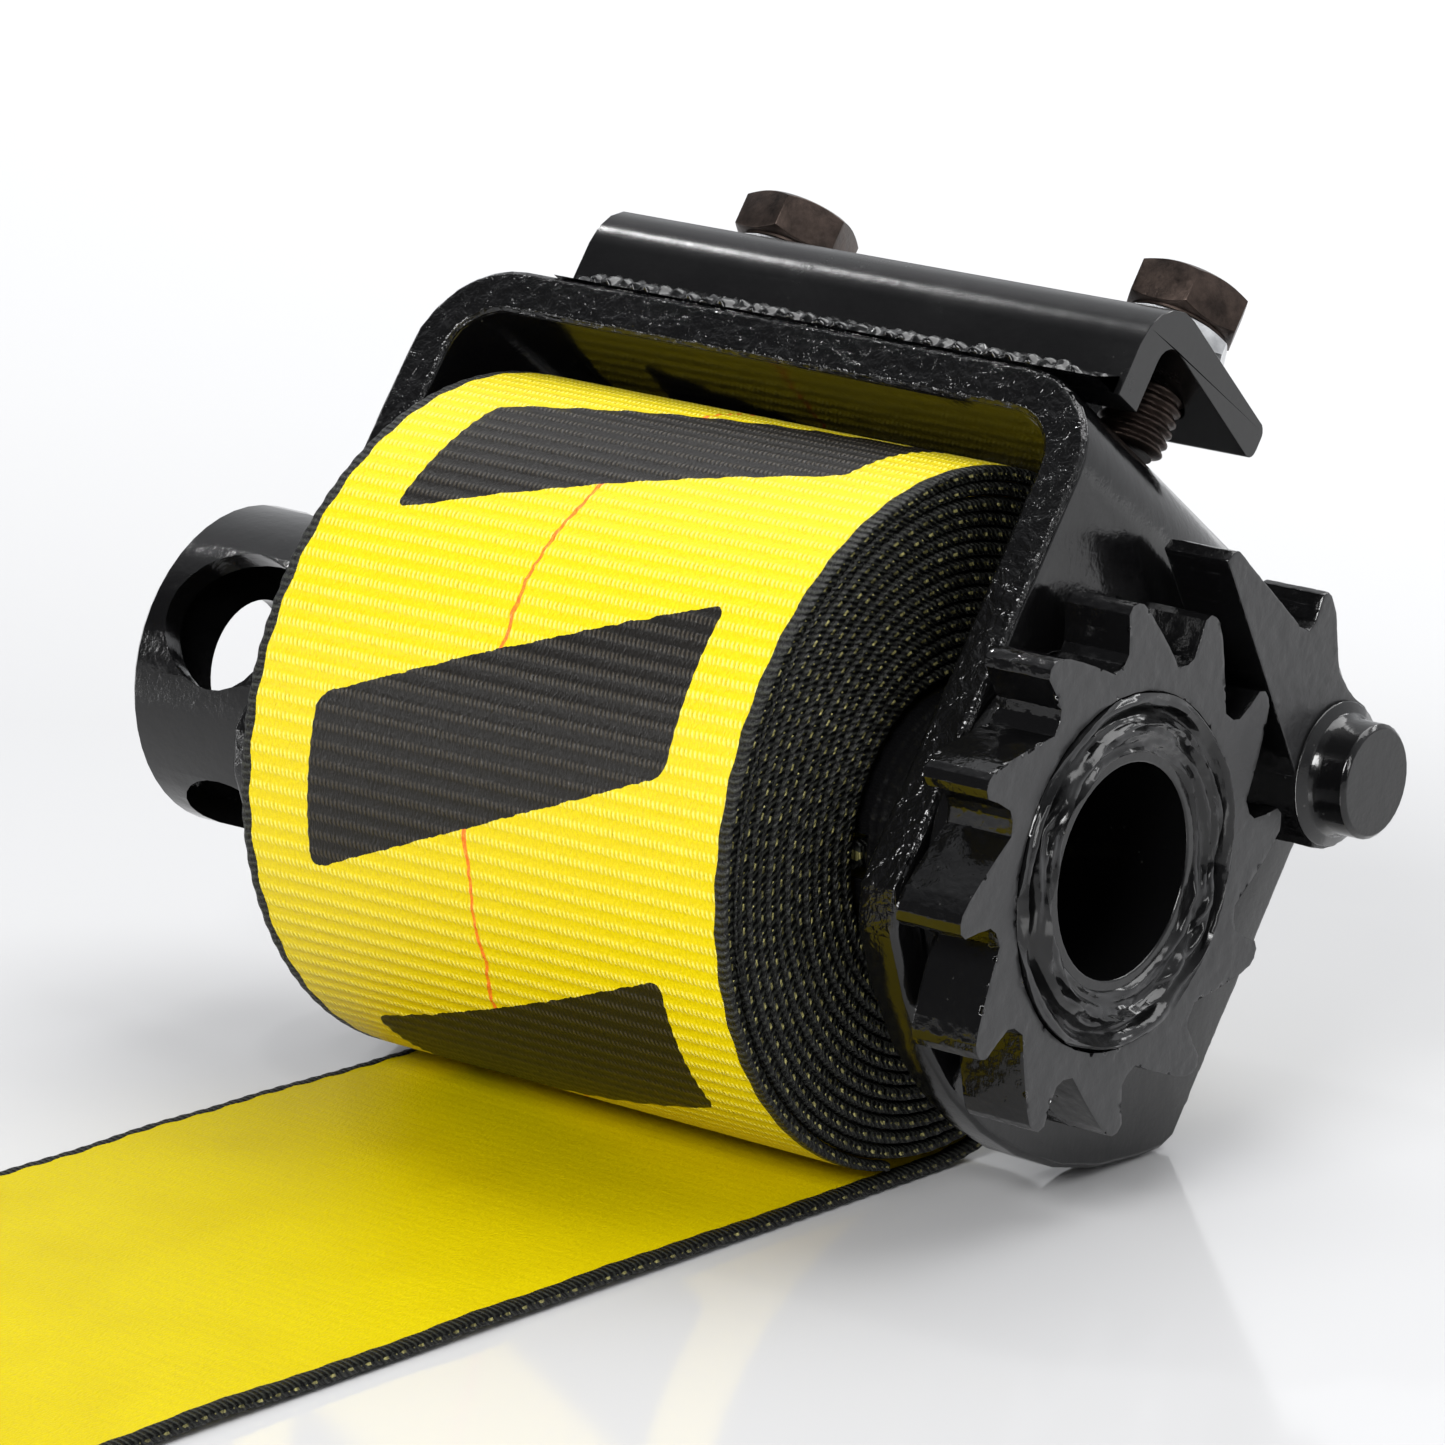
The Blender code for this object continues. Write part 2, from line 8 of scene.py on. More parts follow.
import bmesh
import bpy
import numpy as np
from mathutils import Matrix, Vector, noise


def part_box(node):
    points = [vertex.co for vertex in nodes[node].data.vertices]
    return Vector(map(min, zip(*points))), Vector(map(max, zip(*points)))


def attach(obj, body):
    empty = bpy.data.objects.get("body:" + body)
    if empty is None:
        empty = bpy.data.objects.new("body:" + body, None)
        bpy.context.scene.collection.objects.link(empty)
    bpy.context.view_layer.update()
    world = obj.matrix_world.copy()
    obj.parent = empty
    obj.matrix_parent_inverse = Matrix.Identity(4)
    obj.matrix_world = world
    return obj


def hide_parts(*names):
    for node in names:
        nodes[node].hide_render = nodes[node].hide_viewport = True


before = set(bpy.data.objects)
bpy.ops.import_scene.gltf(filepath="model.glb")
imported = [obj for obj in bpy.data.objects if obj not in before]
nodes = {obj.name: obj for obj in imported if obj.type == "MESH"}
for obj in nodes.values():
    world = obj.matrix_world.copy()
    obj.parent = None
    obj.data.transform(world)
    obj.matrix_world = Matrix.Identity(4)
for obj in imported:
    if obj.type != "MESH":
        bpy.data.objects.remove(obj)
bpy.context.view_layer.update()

# ---------------------------------------------------------------- places taken from the frame
roll_low, roll_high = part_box("strap_roll")
tail_low, tail_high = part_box("strap_tail")
tube_low, tube_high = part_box("drum_tube")

AXLE = (roll_low + roll_high) / 2
FRAME_TILT = math.radians(35.0)
TILTED = Matrix.Translation(AXLE) @ Matrix.Rotation(-FRAME_TILT, 4, "X")

WEB_WIDTH = roll_high.x - roll_low.x
WEB_THICK = 0.0024
CORE_RADIUS = roll_high.z - AXLE.z
AXLE_HEIGHT = AXLE.z
LOOP_RADIUS = 0.0062
LOOP_OUTSIDE = LOOP_RADIUS + WEB_THICK
HINGE_Y = tail_low.y + LOOP_OUTSIDE - AXLE.y
LOOP_DROP = 0.034               # length over which the loop comes down onto the tail
SEWN_REACH = 0.078              # from the hinge to the end of the sewn overlap
OVERLAP_START = HINGE_Y + LOOP_DROP
OVERLAP_END = HINGE_Y + SEWN_REACH

FIT_GAP = 0.0003                # air between touching pieces
STEP = 0.004 / 6                # one sixth of the selvedge's repeat
FLECKS = (1.0, 1.0, 0.3, 0.8, 0.0, 0.0)
SELVEDGE = 0.0024
OUTER_RIB = 0.00020             # height of the ribs on the printed side
INNER_RIB = 0.00001             # and on the plain side
COIL_TURNS = 12
COIL_INSIDE = 0.0256            # where the wound layers start, round the drum tube
STEP_IN = 70.0                  # degrees over which each layer steps in, at the back
THREAD_PITCH = 0.00195
THREAD_DEPTH = 0.00082


# ---------------------------------------------------------------- shader helpers
def new_material(name):
    """A node material and its Principled shader."""
    mat = bpy.data.materials.new(name)
    mat.use_nodes = True
    return mat.node_tree, mat.node_tree.nodes["Principled BSDF"], mat


def add(tree, kind, links=None, **settings):
    """Add a node; links maps its sockets to other sockets or to constants."""
    node = tree.nodes.new(kind)
    for key, value in settings.items():
        setattr(node, key, value)
    for key, value in (links or {}).items():
        if isinstance(value, bpy.types.NodeSocket):
            tree.links.new(value, node.inputs[key])
        else:
            node.inputs[key].default_value = value
    return node


def maths(tree, operation, first, second=0.0, third=0.0, clamp=False):
    """Output of a Math node."""
    node = add(tree, "ShaderNodeMath", {0: first, 1: second, 2: third}, operation=operation,
               use_clamp=clamp)
    return node.outputs[0]


def ramp(tree, value, stops):
    """Map a value through (low in, high in, low out, high out)."""
    low_in, high_in, low_out, high_out = stops
    node = add(tree, "ShaderNodeMapRange", {"Value": value, "From Min": low_in,
                                            "From Max": high_in, "To Min": low_out,
                                            "To Max": high_out})
    return node.outputs["Result"]


def mixed(tree, factor, first, second):
    """Mix two colours."""
    node = add(tree, "ShaderNodeMix", {"Factor": factor, 6: first, 7: second}, data_type="RGBA")
    return node.outputs[2]


def grain(tree, vector, scale, detail=3.0, roughness=0.55, distortion=0.0):
    """Value of a Noise texture."""
    node = add(tree, "ShaderNodeTexNoise", {"Vector": vector, "Scale": scale, "Detail": detail,
                                            "Roughness": roughness, "Distortion": distortion})
    return node.outputs["Fac"]


def attribute(tree, name):
    """Value of a mesh attribute."""
    return add(tree, "ShaderNodeAttribute", attribute_name=name).outputs["Fac"]


def bump(tree, shader, layers):
    """Chain Bump nodes; layers is a list of (height socket, distance in metres)."""
    normal = None
    for height, distance in layers:
        links = {"Height": height, "Strength": 1.0, "Distance": distance}
        if normal is not None:
            links["Normal"] = normal
        normal = add(tree, "ShaderNodeBump", links).outputs["Normal"]
    tree.links.new(normal, shader.inputs["Normal"])


def colour(red, green, blue):
    """An opaque colour."""
    return (red, green, blue, 1.0)


# ---------------------------------------------------------------- steel materials
def facing(tree, source, direction, low, high):
    """0 to 1 as the surface turns towards a direction or its opposite."""
    along = add(tree, "ShaderNodeVectorMath", {0: source.outputs["Normal"], 1: direction},
                operation="DOT_PRODUCT").outputs["Value"]
    return ramp(tree, maths(tree, "ABSOLUTE", along), (low, high, 0.0, 1.0))


def paint_material(name, roughness, peel, cut=0.0, marks=0.0, cut_way=None, satin_way=None):
    """Black paint over steel.

    cut is the depth of the flame-cut texture below the paint, kept to the faces that look
    along cut_way if it is given. Faces that look along satin_way are duller and scratched.
    """
    tree, shader, mat = new_material(name)
    source = add(tree, "ShaderNodeTexCoord")
    place = source.outputs["Object"]
    patches = grain(tree, place, 60.0, 5.0, 0.62)
    fine = grain(tree, place, 1100.0, 3.0, 0.6)
    specks = add(tree, "ShaderNodeTexVoronoi", {"Vector": place, "Scale": 420.0,
                                                "Randomness": 1.0}).outputs["Distance"]
    dusty = maths(tree, "MULTIPLY", ramp(tree, specks, (0.10, 0.04, 0.0, 1.0)),
                  ramp(tree, patches, (0.52, 0.66, 0.0, 0.5)))
    tone = mixed(tree, dusty, colour(0.0030, 0.0030, 0.0032), colour(0.10, 0.10, 0.095))
    satin = facing(tree, source, satin_way, 0.75, 0.95) if satin_way else None
    if marks:
        streak = add(tree, "ShaderNodeMapping", {"Vector": place, "Rotation": (0.5, 0.3, 0.7),
                                                 "Scale": (60.0, 2200.0, 900.0)}).outputs[0]
        scratch = grain(tree, streak, 1.0, 2.0, 0.5)
        scratch = maths(tree, "MULTIPLY", ramp(tree, scratch, (0.66, 0.74, 0.0, marks)),
                        ramp(tree, patches, (0.45, 0.6, 0.0, 1.0)))
        tone = mixed(tree, scratch, tone, colour(0.085, 0.085, 0.085))
    if satin:
        tone = mixed(tree, satin, tone, colour(0.024, 0.024, 0.025))
    tree.links.new(tone, shader.inputs["Base Color"])
    low, high = roughness
    uneven = maths(tree, "MULTIPLY_ADD", fine, 0.35, patches)
    gloss = ramp(tree, uneven, (0.42, 0.95, low, high))
    if satin:
        gloss = maths(tree, "MULTIPLY_ADD", satin, 0.24, gloss)
    tree.links.new(gloss, shader.inputs["Roughness"])
    layers = [(grain(tree, place, 240.0, 4.0, 0.55), peel), (fine, peel * 0.3)]
    if cut:
        rough = grain(tree, place, 400.0, 3.0, 0.6, 0.4)
        if cut_way:
            rough = maths(tree, "MULTIPLY", rough, facing(tree, source, cut_way, 0.55, 0.85))
        layers.append((rough, cut))
    bump(tree, shader, layers)
    return mat


def bare_steel_material(name, dark, light, roughness, metallic=0.9):
    """Plated or oxidised steel with stains and fine scratches."""
    tree, shader, mat = new_material(name)
    place = add(tree, "ShaderNodeTexCoord").outputs["Object"]
    stains = grain(tree, place, 210.0, 6.0, 0.68)
    fine = grain(tree, place, 1700.0, 3.0, 0.6)
    tone = mixed(tree, ramp(tree, stains, (0.35, 0.68, 0.0, 1.0)), dark, light)
    tree.links.new(tone, shader.inputs["Base Color"])
    shader.inputs["Metallic"].default_value = metallic
    low, high = roughness
    tree.links.new(ramp(tree, maths(tree, "ADD", stains, maths(tree, "MULTIPLY", fine, 0.4)),
                        (0.45, 0.95, low, high)), shader.inputs["Roughness"])
    bump(tree, shader, [(stains, 0.00012), (fine, 0.00004)])
    return mat


# ---------------------------------------------------------------- webbing material
RIB_PITCH = 0.0030
YARN_PITCH = 0.0009
PRINT_REPEAT = 0.062
# Printed bar: (centre along, centre across), (half length, half width), corner, slant
PRINT_BAR = ((0.031, 0.0), (0.0145, 0.036), 0.0024, 0.40)


def rounded_bar(tree, along, across, centre, half, radius, slant):
    """1 inside a leaning bar with round corners, 0 outside it."""
    lean = maths(tree, "SUBTRACT", maths(tree, "SUBTRACT", along, centre[0]),
                 maths(tree, "MULTIPLY", across, slant))
    side = maths(tree, "SUBTRACT", across, centre[1])
    out_along = maths(tree, "MAXIMUM", maths(tree, "SUBTRACT", maths(tree, "ABSOLUTE", lean),
                                             half[0] - radius), 0.0)
    out_across = maths(tree, "MAXIMUM", maths(tree, "SUBTRACT", maths(tree, "ABSOLUTE", side),
                                              half[1] - radius), 0.0)
    square = maths(tree, "MULTIPLY_ADD", out_along, out_along,
                   maths(tree, "MULTIPLY", out_across, out_across))
    return maths(tree, "LESS_THAN", square, radius * radius)


def yarn_maps(tree):
    """Weave coordinates along and across the webbing, and its fine and coarse variation."""
    along = attribute(tree, "along")
    across = attribute(tree, "across")
    weave = add(tree, "ShaderNodeCombineXYZ", {"X": along, "Y": across}).outputs[0]
    yarns = add(tree, "ShaderNodeVectorMath", {0: weave, 1: (0.45, 1.0, 1.0)},
                operation="MULTIPLY").outputs[0]
    return along, across, weave, grain(tree, yarns, 2300.0, 2.0, 0.6), grain(tree, weave, 45.0)


def finish_webbing(tree, shader, body, along, across, yarn, layers):
    """Add the black corded selvedges with their pale flecks and painted highlight and shade along
    the cord's twist, and the bumps.
    """
    scallop = maths(tree, "SINE", maths(tree, "MULTIPLY", along, 2 * math.pi / 0.008))
    edge = maths(tree, "MULTIPLY_ADD", scallop, 0.00018, WEB_WIDTH / 2 - SELVEDGE)
    edge = maths(tree, "MULTIPLY_ADD", yarn, 0.0003, edge)
    corded = maths(tree, "GREATER_THAN", maths(tree, "ABSOLUTE", across), edge)
    twist = maths(tree, "MULTIPLY_ADD", attribute(tree, "height"), 0.0011, along)
    # painted highlight and shade: the cord's twist lightens the black cord in stripes below, and is
    # also used as real relief in the bump
    twist_relief_and_shading = maths(tree, "SINE", maths(tree, "MULTIPLY", twist, 2 * math.pi / 0.0013))
    twist_relief_and_shading = maths(tree, "MULTIPLY_ADD", yarn, 2.2, twist_relief_and_shading)
    # painted highlight: the black cord turns greenish grey along its twist
    cord = mixed(tree, ramp(tree, twist_relief_and_shading, (0.8, 2.0, 0.0, 1.0)), colour(0.0035, 0.0035, 0.0035),
                 colour(0.032, 0.034, 0.028))
    shown = maths(tree, "GREATER_THAN", attribute(tree, "fleck"), 0.62)
    pale = mixed(tree, ramp(tree, yarn, (0.4, 0.75, 0.0, 1.0)), colour(0.09, 0.082, 0.03),
                 colour(0.62, 0.57, 0.22))
    cord = mixed(tree, shown, cord, pale)
    tree.links.new(mixed(tree, corded, body, cord), shader.inputs["Base Color"])
    tree.links.new(ramp(tree, yarn, (0.3, 0.8, 0.30, 0.55)), shader.inputs["Roughness"])
    layers = [(yarn, 0.00018)] + layers + [(maths(tree, "MULTIPLY", twist_relief_and_shading, corded), 0.00012)]
    bump(tree, shader, layers)


def outer_webbing_material():
    """Printed side of the yellow ribbed polyester webbing, with its tracer yarn and painted
    highlights on the rib tops.
    """
    tree, shader, mat = new_material("webbing_outer")
    along, across, weave, yarn, cloud = yarn_maps(tree)
    rib = maths(tree, "SINE", maths(tree, "MULTIPLY", along, 2 * math.pi / RIB_PITCH))
    slant = maths(tree, "MULTIPLY_ADD", along, 0.22, across)
    stroke = maths(tree, "SINE", maths(tree, "MULTIPLY", slant, 2 * math.pi / YARN_PITCH))
    stroke = maths(tree, "MULTIPLY_ADD", yarn, 1.6, stroke)
    on_rib = ramp(tree, rib, (-0.1, 0.8, 0.0, 1.0))
    # painted highlight: pale strokes on the rib tops, laid into the yellow and into the ink below
    painted_rib_highlight = maths(tree, "MULTIPLY", ramp(tree, stroke, (0.5, 1.5, 0.0, 1.0)), on_rib)

    yellow = mixed(tree, ramp(tree, yarn, (0.25, 0.7, 0.0, 1.0)), colour(0.62, 0.475, 0.0),
                   colour(0.76, 0.62, 0.002))
    yellow = mixed(tree, ramp(tree, cloud, (0.4, 0.75, 0.0, 0.25)), yellow,
                   colour(0.66, 0.50, 0.0))
    # painted highlight: the yellow turns pale along the rib-top strokes
    yellow = mixed(tree, maths(tree, "MULTIPLY", painted_rib_highlight, 0.6), yellow, colour(0.95, 0.88, 0.22))

    drift = maths(tree, "MULTIPLY_ADD", grain(tree, weave, 26.0, 4.0, 0.6), 0.012, -0.0088)
    tracer = maths(tree, "COMPARE", across, drift, 0.00038)
    tracer = maths(tree, "MULTIPLY", tracer, ramp(tree, yarn, (0.3, 0.5, 0.5, 0.95)))
    yellow = mixed(tree, tracer, yellow, colour(0.80, 0.15, 0.015))

    cell = maths(tree, "MULTIPLY", maths(tree, "FRACT", maths(tree, "DIVIDE", along,
                                                              PRINT_REPEAT)), PRINT_REPEAT)
    ragged = maths(tree, "MULTIPLY_ADD", grain(tree, weave, 420.0, 3.0, 0.6), 0.0012, cell)
    printed = rounded_bar(tree, ragged, across, *PRINT_BAR)
    # painted highlight: the black ink turns grey along the rib-top strokes
    ink = mixed(tree, maths(tree, "MULTIPLY", painted_rib_highlight, 0.8), colour(0.0055, 0.0045, 0.0035),
                colour(0.055, 0.046, 0.033))
    shader.inputs["Specular IOR Level"].default_value = 0.28
    finish_webbing(tree, shader, mixed(tree, printed, yellow, ink), along, across, yarn,
                   [(maths(tree, "MULTIPLY", stroke, on_rib), 0.00006)])
    return mat


def inner_webbing_material():
    """Plain side of the webbing: flatter, and a deeper yellow, darkened as painted shade for the
    flat tail that faces up.
    """
    tree, shader, mat = new_material("webbing_inner")
    along, across, _, yarn, cloud = yarn_maps(tree)
    # painted shade: this side's yellow is darker than the printed side's, for the tail lying on the
    # floor
    shade_darkened_yellow = mixed(tree, ramp(tree, yarn, (0.25, 0.7, 0.0, 1.0)), colour(0.47, 0.37, 0.0),
                 colour(0.56, 0.46, 0.0))
    shade_darkened_yellow = mixed(tree, ramp(tree, cloud, (0.45, 0.7, 0.0, 0.35)), shade_darkened_yellow, colour(0.44, 0.34, 0.0))
    rib = maths(tree, "SINE", maths(tree, "MULTIPLY", along, 2 * math.pi / RIB_PITCH))
    shader.inputs["Specular IOR Level"].default_value = 0.05
    finish_webbing(tree, shader, shade_darkened_yellow, along, across, yarn, [(rib, 0.000012)])
    return mat


def thread_material():
    """Twisted black sewing thread."""
    tree, shader, mat = new_material("thread")
    place = add(tree, "ShaderNodeTexCoord").outputs["Object"]
    strand = grain(tree, place, 2600.0, 2.0, 0.6)
    tree.links.new(mixed(tree, ramp(tree, strand, (0.35, 0.7, 0.0, 1.0)),
                         colour(0.006, 0.006, 0.006), colour(0.045, 0.045, 0.042)),
                   shader.inputs["Base Color"])
    tree.links.new(ramp(tree, strand, (0.3, 0.8, 0.4, 0.65)), shader.inputs["Roughness"])
    bump(tree, shader, [(strand, 0.0001)])
    return mat


# ---------------------------------------------------------------- mesh helpers
def link(name, mesh, mat, body, smooth=40.0):
    """Put a finished mesh into the scene, riding on a CAD body."""
    piece = bpy.data.objects.new(name, mesh)
    bpy.context.scene.collection.objects.link(piece)
    mesh.materials.clear()
    mesh.materials.append(mat)
    mesh.shade_smooth()
    if smooth is not None:
        mesh.set_sharp_from_angle(angle=math.radians(smooth))
    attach(piece, body)
    return piece


def grid_mesh(name, rows, attributes=None, close_rows=True, caps=True):
    """Skin rows of points, an array (row, column, xyz) whose columns close into loops."""
    count, width, _ = rows.shape
    mesh = bpy.data.meshes.new(name)
    index = np.arange(count * width).reshape(count, width)
    across = np.roll(index, -1, axis=1) if close_rows else index[:, 1:]
    here = index if close_rows else index[:, :-1]
    quads = np.stack([here[:-1], across[:-1], across[1:], here[1:]], axis=-1).reshape(-1, 4)
    faces = [tuple(quad) for quad in quads.tolist()]
    if caps:
        faces += [tuple(index[0, ::-1].tolist()), tuple(index[-1].tolist())]
    mesh.from_pydata(rows.reshape(-1, 3).tolist(), [], faces)
    for key, values in (attributes or {}).items():
        layer = mesh.attributes.new(key, "FLOAT", "POINT")
        layer.data.foreach_set("value", np.ascontiguousarray(values.reshape(-1), np.float32))
    mesh.update()
    return mesh


def wobble(values, length, seed):
    """Smooth, repeatable variation from -1 to 1 with the given typical wavelength."""
    turns = values * (2 * math.pi / length)
    return (np.sin(turns + seed) + 0.7 * np.sin(1.73 * turns + 2.1 * seed)
            + 0.5 * np.sin(2.91 * turns + 3.7 * seed)) / 2.2


def outward(mesh):
    """Point all faces of a closed mesh outwards."""
    work = bmesh.new()
    work.from_mesh(mesh)
    bmesh.ops.recalc_face_normals(work, faces=work.faces)
    work.to_mesh(mesh)
    work.free()


# ---------------------------------------------------------------- steel pieces
def tilted_box(node):
    """Box of a CAD node along the frame's own directions X, V and W."""
    turn = TILTED.inverted()
    points = np.array([turn @ vert.co for vert in nodes[node].data.vertices])
    return Vector(points.min(0)), Vector(points.max(0))


def clean_copy(node):
    """Mesh of a CAD node with its split corners joined and its flat faces merged."""
    work = bmesh.new()
    work.from_mesh(nodes[node].data)
    bmesh.ops.remove_doubles(work, verts=work.verts, dist=0.000002)
    bmesh.ops.dissolve_limit(work, angle_limit=math.radians(0.4), verts=work.verts,
                             edges=work.edges)
    return work


def split_small(work, size, chosen=None):
    """Cut faces into triangles with sides no longer than size, where chosen says so."""
    mark = work.faces.layers.int.new("wanted")
    wanted = [face for face in work.faces if chosen is None or chosen(face)]
    for face in wanted:
        face[mark] = 1
    bmesh.ops.triangulate(work, faces=wanted)
    for _ in range(9):
        long = [edge for edge in work.edges if edge.calc_length() > size
                and any(face[mark] for face in edge.link_faces)]
        if not long:
            break
        bmesh.ops.subdivide_edges(work, edges=long, cuts=1)
        bmesh.ops.triangulate(work, faces=[face for face in work.faces
                                           if face[mark] and len(face.verts) > 3])
    return {vert for face in work.faces if face[mark] for vert in face.verts}


def eased(node, name, mat, body, width, rough=0.0, size=0.0012, chosen=None):
    """Stand-in for a CAD node with rounded edges, its surface uneven by up to rough."""
    work = clean_copy(node)
    sharp = [edge for edge in work.edges
             if len(edge.link_faces) == 2 and edge.calc_face_angle() > math.radians(28.0)]
    bmesh.ops.bevel(work, geom=sharp, offset=width, offset_type="OFFSET", segments=2,
                    profile=0.55, affect="EDGES", clamp_overlap=True)
    if rough:
        uneven = split_small(work, size, chosen)
        work.normal_update()
        for vert in uneven:
            push = noise.noise(vert.co * 330.0) + 0.7 * noise.noise(vert.co * 900.0)
            vert.co += vert.normal * (push * rough)
    mesh = bpy.data.meshes.new(name)
    work.to_mesh(mesh)
    work.free()
    piece = link(name, mesh, mat, body, smooth=38.0)
    if not rough:
        piece.modifiers.new("normals", "WEIGHTED_NORMAL").keep_sharp = True
    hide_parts(node)
    return piece


def cut_side(face):
    """True for a flame-cut side of the flat bar: one that looks along V."""
    return abs(face.normal.dot(TILTED.to_3x3().col[1])) > 0.6


def lathe(profile, steps):
    """Rows of a closed turned shape: (radius, height) points about Z, ends on the axis."""
    rows = []
    for radius, height in profile:
        turns = np.arange(steps) * (2 * math.pi / steps)
        rows.append(np.stack([radius * np.cos(turns), radius * np.sin(turns),
                              np.full(steps, height)], axis=1))
    return np.array(rows)


def hexagon_mesh(flats, low, high, chamfer_top, chamfer_low, bore=0.0, turn=0.0):
    """Hexagon bar with its corners turned off at one or both ends, bored if asked."""
    radius = flats / math.sqrt(3.0)
    work = bmesh.new()
    bmesh.ops.create_cone(work, cap_ends=True, segments=6, radius1=radius, radius2=radius,
                          depth=high - low, matrix=Matrix.Translation((0.0, 0.0, (high + low) / 2))
                          @ Matrix.Rotation(math.radians(30.0 + turn), 4, "Z"))
    mesh = bpy.data.meshes.new("hexagon")
    work.to_mesh(mesh)
    work.free()
    body = bpy.data.objects.new("hexagon", mesh)
    face = flats / 2 * 0.95
    rise = (radius - face) * math.tan(math.radians(30.0))
    profile = [(face if chamfer_low else radius + 0.001, low)]
    if chamfer_low:
        profile.append((radius + 0.0002, low + rise))
    if chamfer_top:
        profile.append((radius + 0.0002, high - rise))
    profile.append((face if chamfer_top else radius + 0.001, high))
    turned = bpy.data.objects.new("turned", grid_mesh("turned", lathe(profile, 96)))
    tools = [(turned, "INTERSECT")]
    if bore:
        hole = bpy.data.objects.new("bore", grid_mesh("bore", lathe([(bore, low - 0.01),
                                                                     (bore, high + 0.01)], 48)))
        tools.append((hole, "DIFFERENCE"))
    bpy.context.scene.collection.objects.link(body)
    for tool, operation in tools:
        outward(tool.data)
        bpy.context.scene.collection.objects.link(tool)
        cut = body.modifiers.new(operation, "BOOLEAN")
        cut.operation = operation
        cut.object = tool
    edge = body.modifiers.new("edges", "BEVEL")
    edge.width = 0.00025
    edge.segments = 2
    edge.limit_method = "ANGLE"
    edge.angle_limit = math.radians(25.0)
    bpy.context.view_layer.update()
    finished = bpy.data.meshes.new_from_object(
        body.evaluated_get(bpy.context.evaluated_depsgraph_get()))
    for tool in [body] + [tool for tool, _ in tools]:
        bpy.data.objects.remove(tool, do_unlink=True)
    return finished


def thread_rows(radius, low, high, pitch, depth):
    """Rows of a screw thread about Z, run out at both ends."""
    count = int((high - low) / (pitch / 10))
    heights = np.linspace(low, high, count)[:, None]
    turns = (np.arange(40) * (2 * math.pi / 40))[None, :]
    phase = (heights / pitch - turns / (2 * math.pi)) % 1.0
    groove = np.clip(1.25 - 2.9 * np.abs(phase - 0.5), 0.0, 1.0)
    fade = np.clip((high - heights) / (1.5 * pitch), 0.0, 1.0)
    tip = np.clip((heights - low) / (0.8 * pitch), 0.0, 1.0)
    around = radius - depth * (1.0 - groove) * fade - (1.0 - tip) * depth
    return np.stack([around * np.cos(turns), around * np.sin(turns),
                     np.broadcast_to(heights, around.shape)], axis=2)


def make_bolt(side, turn):
    """Set bolt with a turned hexagon head and a cut thread, and the nut that holds it."""
    node = "set_bolt_" + side
    low, high = tilted_box(node)
    nut_low, nut_high = tilted_box("set_bolt_nut_" + side)
    centre = (low.x + high.x) / 2
    flats = (high.x - low.x) * math.sqrt(3.0) / 2
    place = TILTED @ Matrix.Translation((centre, 0.0, 0.0))
    shank = 0.00635
    head_low = nut_high.z + FIT_GAP
    head = hexagon_mesh(flats, head_low + 0.0004, high.z, True, True, turn=turn)
    work = bmesh.new()
    work.from_mesh(head)
    collar = grid_mesh("collar", lathe([(flats / 2 * 0.9, head_low), (flats / 2 * 0.9,
                                                                      head_low + 0.0012)], 48))
    outward(collar)
    work.from_mesh(collar)
    thread = grid_mesh("thread", thread_rows(shank, low.z, head_low + 0.0008, THREAD_PITCH,
                                             THREAD_DEPTH))
    outward(thread)
    work.from_mesh(thread)
    bmesh.ops.transform(work, matrix=place, verts=work.verts)
    mesh = bpy.data.meshes.new("hex_bolt_" + side)
    work.to_mesh(mesh)
    work.free()
    bolt = link("hex_bolt_" + side, mesh, oxide_steel, "bolt_" + side)
    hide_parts(node)
    nut_mesh = hexagon_mesh(flats * 0.985, nut_low.z, nut_high.z, True, True, shank + 0.0002)
    nut_mesh.transform(place)
    nut = link("hex_nut_" + side, nut_mesh, zinc_steel, "frame")
    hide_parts("set_bolt_nut_" + side)


def lumpy(place, seed, size):
    """Weld-like unevenness from -1 to 1 at a point."""
    spot = Vector(place) + Vector((seed, 0.0, 0.0))
    return noise.noise(spot * size) + 0.5 * noise.noise(spot * (2.7 * size))


def make_ring_weld():
    """Uneven weld round the end of the drum tube, run out over the tube and into the recess."""
    low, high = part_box("ratchet_weld")
    steps = 320
    inner = 0.0190
    tube_edge = tube_high.z - AXLE.z
    outer = high.z - AXLE.z
    face = tube_high.x
    rows = []
    for index in range(steps):
        turn = 2 * math.pi * index / steps
        spin = Vector((math.cos(turn), math.sin(turn), 0.0))
        points = [(inner, face - 0.0012)]
        for number in range(31):
            share = number / 30
            radius = inner + (outer - inner) * share
            smear = 1.4 * noise.noise(Vector((spin.x * 2.6, spin.y * 2.6, share * 9.0)))
            grit = noise.noise(spin * (radius * 700.0) + Vector((0.0, 0.0, 4.0)))
            lip = math.exp(-((share - 0.90) / 0.06) ** 2)
            ditch = math.exp(-((share - 0.70 - 0.05 * smear) / 0.07) ** 2)
            ridge = math.exp(-((share - 0.45) / 0.12) ** 2)
            rise = 0.0006 + 0.0009 * lip - 0.0022 * ditch * (0.6 + 0.8 * smear)
            rise += 0.0008 * ridge * (1.0 + 1.5 * smear) + 0.0009 * smear + 0.00014 * grit
            if radius < tube_edge + 0.0004:
                rise = max(rise, 0.00008)
            fade = min(1.0, share / 0.08)
            points.append((radius, face - 0.0004 + (rise + 0.0004) * fade))
        points.append((outer, low.x))
        points.append((inner, low.x))
        rows.append([(x, AXLE.y + radius * spin.x, AXLE.z + radius * spin.y)
                     for radius, x in points])
    rows.append(rows[0])
    mesh = welded(grid_mesh("ring_weld", np.array(rows), caps=False))
    weld = link("ring_weld", mesh, weld_paint, "drum", smooth=60.0)
    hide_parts("ratchet_weld")


